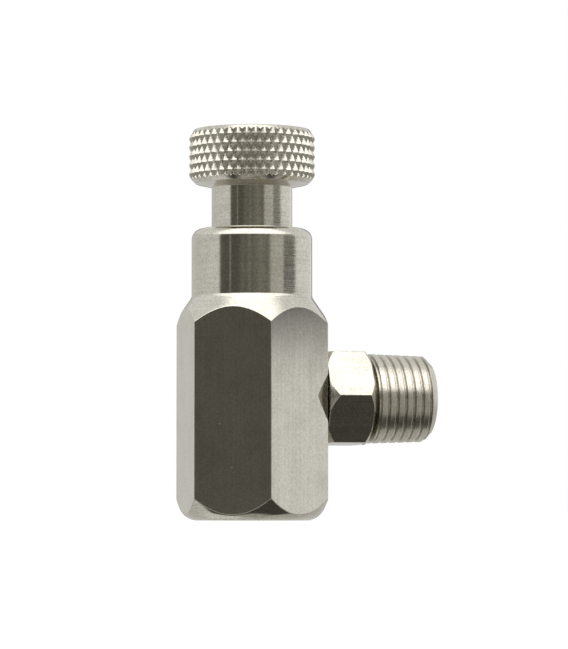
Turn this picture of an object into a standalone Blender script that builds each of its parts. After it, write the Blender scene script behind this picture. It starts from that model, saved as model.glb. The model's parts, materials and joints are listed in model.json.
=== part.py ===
"""An angle needle valve with a knurled hand knob, built from its separate pieces.

Metres, +Z up. The spindle stands on the vertical valve axis, the inlet opens
downwards and the outlet points along +X. The origin is the middle of the bottom
of the valve's bounding box. The needle stands three millimetres above its seat.
"""

import math

import bmesh
import bpy
from mathutils import Matrix, Vector

MM = 0.001

# Driving dimensions, in millimetres. A height is measured up from the bottom face,
# and a reach is measured along +X from the valve axis.

# Valve body: a hexagon bar with a round collar on top.
BODY_FLATS = 20.7
BODY_TOP = 44.05
COLLAR_RADIUS = 9.12
COLLAR_EDGE = 1.6
SHOULDER_HEIGHT = 33.65
SHOULDER_FILLET = 1.2
CONE_SLOPE = 0.69
BASE_CHAMFER_HEIGHT = 3.25
BASE_SLOPE = 0.66
BASE_EDGE = 2.6

# Inlet, bored from below: a parallel quarter inch pipe thread, then three ledges.
PIPE_PITCH = 1.337
INLET_MINOR = 5.72
INLET_MAJOR = 6.58
INLET_MOUTH = 6.95
INLET_RELIEF = 6.75
INLET_RELIEF_LOW = 8.4
INLET_RELIEF_TOP = 9.4
WASHER_LEDGE = 10.4
STRAINER_BORE = 4.4
STRAINER_GROOVE = 4.9
STRAINER_GROOVE_LOW = 10.5
STRAINER_GROOVE_TOP = 11.2
STRAINER_LEDGE = 12.6
SEAT_BORE = 3.5
SEAT_LEDGE = 15.5
SEAT_LIP = 2.7

# What the inlet holds: a sealing washer, a drilled strainer, its ring and the seat.
SEAL_WASHER_OUTER = 5.5
SEAL_WASHER_INNER = 3.4
SEAL_WASHER_THICKNESS = 1.1
STRAINER_RADIUS = 4.2
STRAINER_LOW = 11.3
STRAINER_TOP = 12.3
STRAINER_HOLE = 0.62
STRAINER_HOLE_CIRCLE = 2.35
STRAINER_HOLES_ROUND = 6
SNAP_RING_OUTER = 4.75
SNAP_RING_INNER = 3.7
SNAP_RING_LOW = 10.6
SNAP_RING_TOP = 11.1
SEAT_FLANGE = 3.4
SEAT_FLANGE_LOW = 12.8
SEAT_FLANGE_TOP = 14.6
SEAT_NOSE = 2.6
SEAT_TOP = 16.2
SEAT_MOUTH = 2.0
SEAT_THROAT_TOP = 15.6
SEAT_ORIFICE = 1.2
SEAT_O_RING = (3.05, 0.34)
SEAT_O_RING_HEIGHT = 15.05

# Valve chamber, stem bore and packing chamber, each above the last.
CHAMBER_RADIUS = 4.0
CHAMBER_FLOOR = 16.0
CHAMBER_TOP = 22.6
STEM_BORE = 3.05
PACKING_RADIUS = 4.6
PACKING_FLOOR = 24.6
PACKING_TOP = 30.0
PACKING_OUTER = 4.5
PACKING_WASHER_THICKNESS = 0.8
PACKING_RING_THICKNESS = 1.4
FOLLOWER_CUP_FLOOR = 30.2

# Guide bush: screwed into the collar, and carries the spindle on a fine thread. Its own
# thread and the spigot's never show or move, so they are plain at their pitch radius.
BUSH_RADIUS = 5.75
BUSH_BOTTOM = 30.7
BUSH_TOP = 38.2
BUSH_RECESS_TOP = 34.7
BUSH_SLOT_WIDTH = 1.2
BUSH_SLOT_DEPTH = 1.0
COLLAR_BORE = 6.2
COLLAR_BORE_LOW = 38.5

# Spindle: a stem through the packing, a fine thread, and a shank for the knob.
SPINDLE_PITCH = 0.75
SPINDLE_CREST = 3.95
SPINDLE_ROOT = 3.52
SPINDLE_LIMIT = 3.97
SPINDLE_CORE = 3.22
SPINDLE_THREAD_LOW = 34.0
SPINDLE_THREAD_TOP = 42.0
SPINDLE_BOTTOM = 21.4
SPINDLE_TOP = 55.0
STEM_RADIUS = 2.95
SHANK_RADIUS = 2.5
STOP_GROOVE = 2.5
STOP_GROOVE_LOW = 33.25
STOP_GROOVE_TOP = 33.95
STOP_CLIP_OUTER = 4.3
SOCKET_RADIUS = 2.05
SOCKET_TOP = 24.2
SOCKET_GROOVE = 2.4
SOCKET_GROOVE_LOW = 21.75
SOCKET_GROOVE_TOP = 22.35
NEEDLE_CLIP_OUTER = 2.34
NEEDLE_CLIP_INNER = 1.65

# Needle: a head held in the spindle's socket, a shank and a slim cone.
NEEDLE_HEAD = 1.9
NEEDLE_HEAD_LOW = 22.5
NEEDLE_HEAD_TOP = 23.9
NEEDLE_SHANK = 1.5
NEEDLE_CONE_TOP = 19.97
NEEDLE_POINT = 0.5
NEEDLE_BOTTOM = 16.06
NEEDLE_ROUNDING = 0.3

# Knob: a knurled head on a smooth hub, which slides in the collar.
HUB_RADIUS = 6.1
HUB_LAND = 5.95
HUB_CHAMFER = 0.15
HUB_BOTTOM = 41.5
HUB_RECESS = 4.3
HUB_RECESS_TOP = 42.3
HUB_GROOVE = 5.0
HUB_GROOVE_LOW = 41.9
HUB_GROOVE_TOP = 43.1
HUB_O_RING = (5.6, 0.5)
KNOB_LOW = 50.3
KNOB_UNDERSIDE_RADIUS = 5.6
HUB_OVERLAP = 0.4
KNOB_RIM = 8.5
KNOB_RIM_HEIGHT = 50.9
KNOB_RADIUS = 9.55
KNOB_BAND_LOW = 52.0
KNOB_BAND_TOP = 57.8
KNOB_TOP = 59.1
KNOB_TOP_RADIUS = 8.75
KNOB_BORE = 2.55
KNOB_BORE_TOP = 55.5
KNOB_HUB_TOP = 58.0
KNOB_HUB_TOP_RADIUS = 8.0
KNURL_COUNT = 42
KNURL_TURN = math.radians(2.5)
KNURL_LOW = 50.995
KNURL_ROW = 1.355
KNURL_TIP = 9.53
KNURL_DEPTH = 0.6
KNURL_PLAIN_RADIUS = 9.0
KNURL_PLAIN_TOP = 51.2
GRUB_HEIGHT = 53.7
GRUB_RADIUS = 1.5
GRUB_INNER = 2.7
GRUB_OUTER = 7.2
GRUB_SOCKET_FLATS = 1.5
GRUB_SOCKET_DEPTH = 1.6
GRUB_POINT = 0.6
GRUB_HOLE_START = 1.0
GRUB_HOLE_END = 12.0

# Outlet nipple: a hexagon, a tapered quarter inch pipe thread and a screwed spigot.
PORT_HEIGHT = 18.5
NIPPLE_FLATS = 13.85
NIPPLE_ROLL = math.radians(-2.2)
NIPPLE_BORE = 3.2
NIPPLE_HEX_START = 10.46
NIPPLE_HEX_END = 17.5
NIPPLE_NEAR_SLOPE = 0.75
NIPPLE_FAR_SLOPE = 1.07
NIPPLE_FACE = 7.02
OUTLET_REACH = 27.7
OUTLET_START = 17.85
OUTLET_START_RADIUS = 5.75
OUTLET_NECK = 5.5
OUTLET_ROOT = 6.32
OUTLET_CREST = 6.82
OUTLET_CREST_SHARE = 0.5
OUTLET_TAPER = 1 / 32
OUTLET_TIP = 5.45
OUTLET_LIMIT = 6.92
SPIGOT_START = 5.4
SPIGOT_RADIUS = 4.57
SPIGOT_NECK = 3.95
PORT_FLOOR = 5.1
PORT_POCKET = 5.65
PORT_POCKET_START = 9.1
SIDE_PASSAGE = 2.4
NIPPLE_O_RING = (4.93, 0.58)

# Clearances between a screwed piece and its bore, between resting faces, and between a
# clip and its groove.
THREAD_GAP = 0.1
REST_GAP = 0.1
CLIP_GAP = 0.05

# Chamfers on the edges of plain pieces and on the ends of threads.
EDGE_CHAMFER = 0.3
FINE_CHAMFER = 0.2
SEAT_CHAMFER = 0.15
THREAD_CHAMFER = 0.4

# How far a turned blank stands outside the corners of the hexagon that limits it, and
# how far a clip's cutter is high.
BLANK_MARGIN = 0.3
CLIP_CUT_HEIGHT = 2.0

# How far a cutter runs past the faces it cuts: a length of thread, or any other one.
OVERRUN = 0.5
CUTTER_OVERRUN = 1.0

# How far inside its bore a female thread's cutter has its root, and how far outside its
# crest the turned limit of a thread stays.
CUTTER_SINK = 0.06
CREST_TRIM = 0.05

# Steps round a turn, for what shows outside and for what doesn't.
OUTER_STEPS = 48
INNER_STEPS = 24
THREAD_STEPS = 24
OUTLET_STEPS = 32
O_RING_STEPS = 8
DRILL_STEPS = 10
GRUB_STEPS = 16

VALVE_AXIS_X = -(OUTLET_REACH - BODY_FLATS / 2) / 2

UPRIGHT = (0.0, 0.0, 0.0)
OUTWARD = (0.0, math.pi / 2, 0.0)
BACKWARD = (-math.pi / 2, 0.0, 0.0)


def clear_scene():
    for obj in list(bpy.data.objects):
        bpy.data.objects.remove(obj, do_unlink=True)


def new_collection(name):
    collection = bpy.data.collections.new(name)
    bpy.context.scene.collection.children.link(collection)
    return collection


def new_axis(name, collection):
    """An empty on the valve axis, at the height of the bottom face."""
    axis = bpy.data.objects.new(name, None)
    axis.location = (VALVE_AXIS_X * MM, 0.0, 0.0)
    axis.empty_display_size = 5 * MM
    collection.objects.link(axis)
    return axis


clear_scene()
VALVE = new_collection("needle_valve")
CUTTERS = new_collection("cutters")
FIXED = new_axis("valve_axis", VALVE)
LIFTING = new_axis("needle_axis", VALVE)
TURNING = new_axis("spindle_axis", VALVE)


# Materials


def metal(name, colour, roughness):
    material = bpy.data.materials.new(name)
    material.use_nodes = True
    shader = material.node_tree.nodes["Principled BSDF"]
    shader.inputs["Base Color"].default_value = (*colour, 1.0)
    shader.inputs["Metallic"].default_value = 1.0
    shader.inputs["Roughness"].default_value = roughness
    return material


def soft(name, colour, roughness):
    material = metal(name, colour, roughness)
    material.node_tree.nodes["Principled BSDF"].inputs["Metallic"].default_value = 0.0
    return material


NICKEL_PLATE = metal("nickel_plate", (0.62, 0.60, 0.55), 0.14)
BRASS = metal("brass", (0.71, 0.53, 0.25), 0.28)
STAINLESS = metal("stainless_steel", (0.58, 0.58, 0.57), 0.25)
BLACK_STEEL = metal("black_steel", (0.06, 0.06, 0.065), 0.4)
RUBBER = soft("black_rubber", (0.02, 0.02, 0.02), 0.7)
PTFE = soft("white_ptfe", (0.85, 0.85, 0.83), 0.45)
FIBRE = soft("red_fibre", (0.42, 0.09, 0.05), 0.8)


# Outlines


def arc(before, corner, after, radius, pieces):
    """The points of a rounding of that radius between two straight runs."""
    inward = (before - corner).normalized()
    onward = (after - corner).normalized()
    half = inward.angle(onward) / 2
    centre = corner + (inward + onward).normalized() * radius / math.sin(half)
    start = (corner + inward * radius / math.tan(half) - centre).normalized()
    end = (corner + onward * radius / math.tan(half) - centre).normalized()
    return [centre + start.slerp(end, piece / pieces) * radius for piece in range(pieces + 1)]


def outline(*corners, pieces=3):
    """Corners as (radius, height), or (radius, height, rounding), made a list of points."""
    points = [Vector(corner[:2]) for corner in corners]
    run = []
    for index, corner in enumerate(corners):
        if len(corner) == 3:
            following = points[(index + 1) % len(points)]
            run += arc(points[index - 1], points[index], following, corner[2], pieces)
        else:
            run.append(points[index])
    return run


# Shapes


def add_object(name, mesh, collection, axis, direction=UPRIGHT):
    """Links an object whose local Z lies along the direction, on the port axis if outward."""
    obj = bpy.data.objects.new(name, mesh)
    obj.parent = axis
    obj.rotation_euler = direction
    if direction == OUTWARD:
        obj.location.z = PORT_HEIGHT * MM
    elif direction == BACKWARD:
        obj.location.z = GRUB_HEIGHT * MM
    collection.objects.link(obj)
    if collection == CUTTERS:
        obj.hide_render = True
        obj.display_type = "WIRE"
    return obj


def turned(name, points, axis=FIXED, steps=INNER_STEPS, collection=CUTTERS, direction=UPRIGHT):
    """Turns an outline round local Z. One that starts off the axis is closed to a ring."""
    ring = points[0][0] > 0
    ends = list(range(1, len(points))) + ([0] if ring else [])
    mesh = bpy.data.meshes.new(name)
    mesh.from_pydata(
        [(radius * MM, 0.0, height * MM) for radius, height in points],
        [(start, end) for start, end in enumerate(ends)],
        [],
    )
    obj = add_object(name, mesh, collection, axis, direction)
    screw = obj.modifiers.new("turn", "SCREW")
    screw.axis = "Z"
    screw.steps = steps
    screw.render_steps = steps
    screw.use_merge_vertices = True
    screw.merge_threshold = 1e-6
    return obj


def cylinder(name, radius, low, high, axis=FIXED, steps=INNER_STEPS, direction=UPRIGHT):
    return turned(name, plain_length(radius, low, high), axis, steps, CUTTERS, direction)


def ring(name, outer, inner, low, high, axis):
    """A plain washer or sleeve."""
    points = outline((outer, high), (outer, low), (inner, low), (inner, high))
    return turned(name, points, axis, INNER_STEPS, VALVE)


def o_ring(name, centre_radius, section_radius, height, axis, direction=UPRIGHT):
    """An O-ring round local Z, centred that far along it."""
    bpy.ops.mesh.primitive_torus_add(
        major_segments=INNER_STEPS,
        minor_segments=O_RING_STEPS,
        major_radius=centre_radius * MM,
        minor_radius=section_radius * MM,
    )
    mesh = bpy.context.object.data
    bpy.data.objects.remove(bpy.context.object)
    mesh.name = name
    obj = add_object(name, mesh, VALVE, axis, direction)
    if direction == OUTWARD:
        obj.location.x = height * MM
    else:
        obj.location.z = height * MM
    return obj


def hexagon(name, flats, low, high, axis=FIXED, direction=UPRIGHT, roll=0.0):
    """A hexagonal prism along local Z, with corners on local Y before the roll."""
    mesh = bpy.data.meshes.new(name)
    shape = bmesh.new()
    corner_radius = flats / math.sqrt(3) * MM
    bmesh.ops.create_cone(
        shape,
        cap_ends=True,
        segments=6,
        radius1=corner_radius,
        radius2=corner_radius,
        depth=(high - low) * MM,
    )
    bmesh.ops.translate(shape, verts=shape.verts, vec=(0, 0, (low + high) / 2 * MM))
    bmesh.ops.rotate(shape, verts=shape.verts, matrix=Matrix.Rotation(roll, 3, "Z"))
    shape.to_mesh(mesh)
    shape.free()
    return add_object(name, mesh, CUTTERS, axis, direction)


def box(name, size, centre, axis=FIXED):
    mesh = bpy.data.meshes.new(name)
    shape = bmesh.new()
    bmesh.ops.create_cube(shape, size=1.0)
    bmesh.ops.scale(shape, verts=shape.verts, vec=Vector(size) * MM)
    shape.to_mesh(mesh)
    shape.free()
    obj = add_object(name, mesh, CUTTERS, axis)
    obj.location = Vector(centre) * MM
    return obj


def threaded_rod(name, pitch, root, crest, low, high, steps, taper, crest_share):
    """The mesh of a right-hand thread round local Z that reaches a pitch past both ends.

    crest_share is how much of a pitch the flat of its crest takes, and 0 makes a sharp V.

    Each column holds the same points, raised by its share of the pitch, so the last
    column joins the first one a whole pitch up. A fan to the axis closes each end. The
    turns start a whole number of pitches above zero, so a screw and its nut agree.
    """
    form = [(0.0, root), (0.5 - crest_share / 2, crest)]
    if crest_share:
        form.append((0.5 + crest_share / 2, crest))
    first = math.floor(low / pitch) - 2
    turns = math.ceil(high / pitch) + 1 - first
    count = turns * len(form) + 1
    shape = bmesh.new()
    columns = []
    for step in range(steps):
        angle = 2 * math.pi * step / steps
        column = []
        for index in range(count):
            part, radius = form[index % len(form)]
            height = (first + index // len(form) + part + step / steps) * pitch
            radius = (radius - taper * (height - low)) * MM
            place = (radius * math.cos(angle), radius * math.sin(angle), height * MM)
            column.append(shape.verts.new(place))
        columns.append(column)
    for column, following in zip(columns, columns[1:] + [columns[0][len(form):]]):
        for index in range(len(following) - 1):
            corners = (column[index], following[index], following[index + 1], column[index + 1])
            shape.faces.new(corners)
    low_edge = [column[0] for column in columns] + columns[0][len(form):0:-1]
    top_edge = [column[-1] for column in columns] + columns[-1][-2:-len(form) - 2:-1]
    for edge in (low_edge, top_edge):
        height = sum(vert.co.z for vert in edge) / len(edge)
        middle = shape.verts.new((0.0, 0.0, height))
        for start, end in zip(edge, edge[1:] + edge[:1]):
            shape.faces.new((start, end, middle))
    bmesh.ops.recalc_face_normals(shape, faces=shape.faces)
    mesh = bpy.data.meshes.new(name)
    shape.to_mesh(mesh)
    shape.free()
    return mesh


def thread(
    name,
    pitch,
    root,
    crest,
    points,
    axis=FIXED,
    direction=UPRIGHT,
    steps=THREAD_STEPS,
    taper=0.0,
    crest_share=0.0,
):
    """A threaded length, limited to the solid that the outline describes."""
    low = min(height for radius, height in points)
    high = max(height for radius, height in points)
    mesh = threaded_rod(name, pitch, root, crest, low, high, steps, taper, crest_share)
    obj = add_object(name, mesh, CUTTERS, axis, direction)
    limit = turned(name + "_limit", points, axis, INNER_STEPS, CUTTERS, direction)
    combine(obj, limit, "INTERSECT")
    return obj


def plain_length(radius, low, high):
    return outline((0, high), (radius, high), (radius, low), (0, low))


def chamfered_length(radius, low, high, chamfer):
    return outline(
        (0, high),
        (radius - chamfer, high),
        (radius, high - chamfer),
        (radius, low + chamfer),
        (radius - chamfer, low),
        (0, low),
    )


def combine(target, other, operation):
    boolean = target.modifiers.new(other.name, "BOOLEAN")
    boolean.operation = operation
    boolean.solver = "EXACT"
    boolean.object = other


def cut(target, *cutters):
    for cutter in cutters:
        combine(target, cutter, "DIFFERENCE")


def finish(obj, material):
    """Gives the object its final mesh, shaded smooth except over its sharp edges."""
    graph = bpy.context.evaluated_depsgraph_get()
    mesh = bpy.data.meshes.new_from_object(obj.evaluated_get(graph))
    mesh.name = obj.name
    mesh.shade_smooth()
    mesh.set_sharp_from_angle(angle=math.radians(30))
    mesh.materials.clear()
    mesh.materials.append(material)
    obj.modifiers.clear()
    obj.data = mesh


# Valve body


def body_blank():
    """The turned blank, kept inside a hexagon bar so that its flats end in arcs."""
    corner = BODY_FLATS / math.sqrt(3)
    blank_radius = corner + BLANK_MARGIN
    cone_low = SHOULDER_HEIGHT - (blank_radius - COLLAR_RADIUS) / CONE_SLOPE
    chamfer_top = BASE_CHAMFER_HEIGHT + (blank_radius - corner) / BASE_SLOPE
    base_radius = corner - BASE_SLOPE * BASE_CHAMFER_HEIGHT
    points = outline(
        (0, BODY_TOP),
        (COLLAR_RADIUS, BODY_TOP, COLLAR_EDGE),
        (COLLAR_RADIUS, SHOULDER_HEIGHT, SHOULDER_FILLET),
        (blank_radius, cone_low),
        (blank_radius, chamfer_top),
        (base_radius, 0, BASE_EDGE),
        (0, 0),
    )
    blank = turned("valve_body", points, FIXED, OUTER_STEPS, VALVE)
    bar = hexagon("body_hexagon", BODY_FLATS, -CUTTER_OVERRUN, BODY_TOP + CUTTER_OVERRUN)
    combine(blank, bar, "INTERSECT")
    return blank


def body_bore():
    """Every bore on the valve axis, as one turned cutter."""
    bush_bore = BUSH_RADIUS + THREAD_GAP
    points = outline(
        (0, BODY_TOP + CUTTER_OVERRUN),
        (COLLAR_BORE + EDGE_CHAMFER + CUTTER_OVERRUN, BODY_TOP + CUTTER_OVERRUN),
        (COLLAR_BORE, BODY_TOP - EDGE_CHAMFER),
        (COLLAR_BORE, COLLAR_BORE_LOW),
        (bush_bore, COLLAR_BORE_LOW),
        (bush_bore, PACKING_TOP),
        (PACKING_RADIUS, PACKING_TOP),
        (PACKING_RADIUS, PACKING_FLOOR),
        (STEM_BORE, PACKING_FLOOR),
        (STEM_BORE, CHAMBER_TOP),
        (CHAMBER_RADIUS, CHAMBER_TOP),
        (CHAMBER_RADIUS, CHAMBER_FLOOR),
        (SEAT_LIP, CHAMBER_FLOOR),
        (SEAT_LIP, SEAT_LEDGE),
        (SEAT_BORE, SEAT_LEDGE),
        (SEAT_BORE, STRAINER_LEDGE),
        (STRAINER_BORE, STRAINER_LEDGE),
        (STRAINER_BORE, STRAINER_GROOVE_TOP),
        (STRAINER_GROOVE, STRAINER_GROOVE_TOP),
        (STRAINER_GROOVE, STRAINER_GROOVE_LOW),
        (STRAINER_BORE, STRAINER_GROOVE_LOW),
        (STRAINER_BORE, WASHER_LEDGE),
        (INLET_MINOR, WASHER_LEDGE),
        (INLET_MINOR, INLET_RELIEF_TOP),
        (INLET_RELIEF, INLET_RELIEF_TOP),
        (INLET_RELIEF, INLET_RELIEF_LOW),
        (INLET_MINOR, INLET_RELIEF_LOW),
        (INLET_MINOR, INLET_MOUTH - INLET_MINOR),
        (INLET_MOUTH + CUTTER_OVERRUN, -CUTTER_OVERRUN),
        (0, -CUTTER_OVERRUN),
    )
    return turned("body_bore", points)


def inlet_thread():
    return thread(
        "inlet_thread",
        PIPE_PITCH,
        INLET_MINOR - CUTTER_SINK,
        INLET_MAJOR,
        plain_length(INLET_MAJOR + CREST_TRIM, -OVERRUN, INLET_RELIEF_LOW + OVERRUN),
    )


def port_bore():
    spigot_bore = SPIGOT_RADIUS + THREAD_GAP
    points = outline(
        (0, BODY_FLATS),
        (PORT_POCKET, BODY_FLATS),
        (PORT_POCKET, PORT_POCKET_START),
        (spigot_bore, PORT_POCKET_START),
        (spigot_bore, PORT_FLOOR),
        (SIDE_PASSAGE, PORT_FLOOR),
        (SIDE_PASSAGE, 0),
        (0, 0),
    )
    return turned("port_bore", points, direction=OUTWARD)


def make_valve_body():
    body = body_blank()
    cut(body, body_bore(), port_bore(), inlet_thread())
    finish(body, NICKEL_PLATE)


# Inlet and seat


def make_inlet_seal_washer():
    high = WASHER_LEDGE - REST_GAP
    low = high - SEAL_WASHER_THICKNESS
    washer = ring("inlet_seal_washer", SEAL_WASHER_OUTER, SEAL_WASHER_INNER, low, high, FIXED)
    finish(washer, FIBRE)


def make_strainer():
    """A drilled disc: one hole in the middle and a ring of them round it."""
    blank = plain_length(STRAINER_RADIUS, STRAINER_LOW, STRAINER_TOP)
    disc = turned("inlet_strainer", blank, FIXED, INNER_STEPS, VALVE)
    spots = [(0.0, 0.0)]
    for index in range(STRAINER_HOLES_ROUND):
        angle = 2 * math.pi * index / STRAINER_HOLES_ROUND
        spots.append((STRAINER_HOLE_CIRCLE * math.cos(angle), STRAINER_HOLE_CIRCLE * math.sin(angle)))
    low = STRAINER_LOW - CUTTER_OVERRUN
    high = STRAINER_TOP + CUTTER_OVERRUN
    for index, (x, y) in enumerate(spots):
        drill = cylinder(f"strainer_drill_{index}", STRAINER_HOLE, low, high, steps=DRILL_STEPS)
        drill.location = (x * MM, y * MM, 0.0)
        cut(disc, drill)
    finish(disc, STAINLESS)


def split_clip(name, outer, inner, low, high, axis):
    """A spring clip: a ring with a gap on its +X side."""
    clip = ring(name, outer, inner, low, high, axis)
    gap_size = (outer, inner, CLIP_CUT_HEIGHT)
    gap = box(name + "_gap", gap_size, (outer, 0, (low + high) / 2), axis)
    cut(clip, gap)
    finish(clip, STAINLESS)


def make_strainer_snap_ring():
    split_clip(
        "strainer_snap_ring",
        SNAP_RING_OUTER,
        SNAP_RING_INNER,
        SNAP_RING_LOW,
        SNAP_RING_TOP,
        FIXED,
    )


def make_seat_bush():
    """The seat: a stepped bush with a countersunk orifice that the needle closes."""
    points = outline(
        (SEAT_MOUTH, SEAT_TOP),
        (SEAT_NOSE - SEAT_CHAMFER, SEAT_TOP),
        (SEAT_NOSE, SEAT_TOP - SEAT_CHAMFER),
        (SEAT_NOSE, SEAT_FLANGE_TOP),
        (SEAT_FLANGE, SEAT_FLANGE_TOP),
        (SEAT_FLANGE, SEAT_FLANGE_LOW),
        (SEAT_ORIFICE + EDGE_CHAMFER, SEAT_FLANGE_LOW),
        (SEAT_ORIFICE, SEAT_FLANGE_LOW + EDGE_CHAMFER),
        (SEAT_ORIFICE, SEAT_THROAT_TOP),
    )
    finish(turned("seat_bush", points, FIXED, INNER_STEPS, VALVE), BRASS)


def make_seat_bush_o_ring():
    finish(o_ring("seat_bush_o_ring", *SEAT_O_RING, SEAT_O_RING_HEIGHT, FIXED), RUBBER)


# Packing


def make_packing():
    """A washer on the chamber's floor, two PTFE rings on it and the cup that presses them."""
    outer = PACKING_OUTER
    inner = STEM_BORE
    low = PACKING_FLOOR + REST_GAP
    stack = (
        ("packing_washer", PACKING_WASHER_THICKNESS, STAINLESS),
        ("packing_ring_1", PACKING_RING_THICKNESS, PTFE),
        ("packing_ring_2", PACKING_RING_THICKNESS, PTFE),
    )
    for name, thickness, material in stack:
        finish(ring(name, outer, inner, low, low + thickness, FIXED), material)
        low += thickness + REST_GAP
    flange = BUSH_RADIUS - REST_GAP
    flange_top = BUSH_BOTTOM - REST_GAP
    points = outline(
        (flange, flange_top),
        (flange, PACKING_TOP + REST_GAP),
        (outer, PACKING_TOP + REST_GAP),
        (outer, low),
        (inner, low),
        (inner, FOLLOWER_CUP_FLOOR),
        (PACKING_RADIUS, FOLLOWER_CUP_FLOOR),
        (PACKING_RADIUS, flange_top),
    )
    finish(turned("gland_follower", points, FIXED, INNER_STEPS, VALVE), BRASS)


def make_guide_bush():
    """A bush with the spindle's thread inside, and a slot for the tool that turns it."""
    blank = chamfered_length(BUSH_RADIUS, BUSH_BOTTOM, BUSH_TOP, EDGE_CHAMFER)
    bush = turned("guide_bush", blank, FIXED, INNER_STEPS, VALVE)
    minor = SPINDLE_ROOT + THREAD_GAP
    major = SPINDLE_CREST + THREAD_GAP
    bore = outline(
        (0, BUSH_TOP + CUTTER_OVERRUN),
        (major + CUTTER_OVERRUN, BUSH_TOP + CUTTER_OVERRUN),
        (minor, BUSH_TOP - (major - minor)),
        (minor, BUSH_RECESS_TOP),
        (PACKING_RADIUS, BUSH_RECESS_TOP),
        (PACKING_RADIUS, BUSH_BOTTOM - CUTTER_OVERRUN),
        (0, BUSH_BOTTOM - CUTTER_OVERRUN),
    )
    inner = thread(
        "bush_inner_thread",
        SPINDLE_PITCH,
        minor - CUTTER_SINK,
        major,
        plain_length(major + CREST_TRIM, BUSH_RECESS_TOP - OVERRUN, BUSH_TOP + OVERRUN),
    )
    slot_size = (2 * (BUSH_RADIUS + CUTTER_OVERRUN), BUSH_SLOT_WIDTH, 2 * BUSH_SLOT_DEPTH)
    cut(bush, turned("bush_bore", bore), inner, box("bush_slot", slot_size, (0, 0, BUSH_TOP)))
    finish(bush, BRASS)


# Spindle and needle


def make_spindle():
    points = outline(
        (0, SPINDLE_TOP),
        (SHANK_RADIUS - EDGE_CHAMFER, SPINDLE_TOP),
        (SHANK_RADIUS, SPINDLE_TOP - EDGE_CHAMFER),
        (SHANK_RADIUS, SPINDLE_THREAD_TOP - OVERRUN),
        (SPINDLE_CORE, SPINDLE_THREAD_TOP - OVERRUN),
        (SPINDLE_CORE, SPINDLE_THREAD_LOW + OVERRUN),
        (STEM_RADIUS, SPINDLE_THREAD_LOW + OVERRUN),
        (STEM_RADIUS, STOP_GROOVE_TOP),
        (STOP_GROOVE, STOP_GROOVE_TOP),
        (STOP_GROOVE, STOP_GROOVE_LOW),
        (STEM_RADIUS, STOP_GROOVE_LOW),
        (STEM_RADIUS, SPINDLE_BOTTOM + FINE_CHAMFER),
        (STEM_RADIUS - FINE_CHAMFER, SPINDLE_BOTTOM),
        (0, SPINDLE_BOTTOM),
    )
    spindle = turned("spindle", points, TURNING, INNER_STEPS, VALVE)
    screw = thread(
        "spindle_thread",
        SPINDLE_PITCH,
        SPINDLE_ROOT,
        SPINDLE_CREST,
        chamfered_length(SPINDLE_LIMIT, SPINDLE_THREAD_LOW, SPINDLE_THREAD_TOP, THREAD_CHAMFER),
        TURNING,
    )
    combine(spindle, screw, "UNION")
    socket = outline(
        (0, SOCKET_TOP),
        (SOCKET_RADIUS, SOCKET_TOP),
        (SOCKET_RADIUS, SOCKET_GROOVE_TOP),
        (SOCKET_GROOVE, SOCKET_GROOVE_TOP),
        (SOCKET_GROOVE, SOCKET_GROOVE_LOW),
        (SOCKET_RADIUS, SOCKET_GROOVE_LOW),
        (SOCKET_RADIUS, SPINDLE_BOTTOM - CUTTER_OVERRUN),
        (0, SPINDLE_BOTTOM - CUTTER_OVERRUN),
    )
    cut(spindle, turned("spindle_socket", socket, TURNING))
    finish(spindle, STAINLESS)


def make_spindle_stop_clip():
    low = STOP_GROOVE_LOW + CLIP_GAP
    high = STOP_GROOVE_TOP - CLIP_GAP
    split_clip("spindle_stop_clip", STOP_CLIP_OUTER, STOP_GROOVE + REST_GAP, low, high, TURNING)


def make_needle_clip():
    low = SOCKET_GROOVE_LOW + CLIP_GAP
    high = SOCKET_GROOVE_TOP - CLIP_GAP
    split_clip("needle_clip", NEEDLE_CLIP_OUTER, NEEDLE_CLIP_INNER, low, high, TURNING)


def make_needle():
    points = outline(
        (0, NEEDLE_HEAD_TOP),
        (NEEDLE_HEAD, NEEDLE_HEAD_TOP, NEEDLE_ROUNDING),
        (NEEDLE_HEAD, NEEDLE_HEAD_LOW),
        (NEEDLE_SHANK, NEEDLE_HEAD_LOW),
        (NEEDLE_SHANK, NEEDLE_CONE_TOP),
        (NEEDLE_POINT, NEEDLE_BOTTOM, NEEDLE_ROUNDING),
        (0, NEEDLE_BOTTOM),
    )
    finish(turned("needle", points, LIFTING, INNER_STEPS, VALVE), STAINLESS)


# Knob


def knurl_block(name, low, high):
    """A round block whose side is rows of diamonds: hollows where row and column are both
    odd or both even, tips elsewhere, and each cell folded along its two hollows."""
    columns = 2 * KNURL_COUNT
    rows = math.ceil((high - low) / KNURL_ROW) + 1
    shape = bmesh.new()
    grid = []
    for row in range(rows):
        circle = []
        for column in range(columns):
            angle = KNURL_TURN + 2 * math.pi * column / columns
            hollow = (row + column + 1) % 2
            radius = (KNURL_TIP - KNURL_DEPTH * hollow) * MM
            height = (low + row * KNURL_ROW) * MM
            place = (radius * math.cos(angle), radius * math.sin(angle), height)
            circle.append(shape.verts.new(place))
        grid.append(circle)
    for row in range(rows - 1):
        for column in range(columns):
            following = (column + 1) % columns
            near, far = grid[row][column], grid[row][following]
            above, beyond = grid[row + 1][column], grid[row + 1][following]
            if (row + column + 1) % 2:
                shape.faces.new((near, far, beyond))
                shape.faces.new((near, beyond, above))
            else:
                shape.faces.new((near, far, above))
                shape.faces.new((far, beyond, above))
    for circle in (grid[0], grid[-1]):
        middle = shape.verts.new((0.0, 0.0, circle[0].co.z))
        for start, end in zip(circle, circle[1:] + circle[:1]):
            shape.faces.new((start, end, middle))
    bmesh.ops.recalc_face_normals(shape, faces=shape.faces)
    mesh = bpy.data.meshes.new(name)
    shape.to_mesh(mesh)
    shape.free()
    return add_object(name, mesh, CUTTERS, TURNING)


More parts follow.
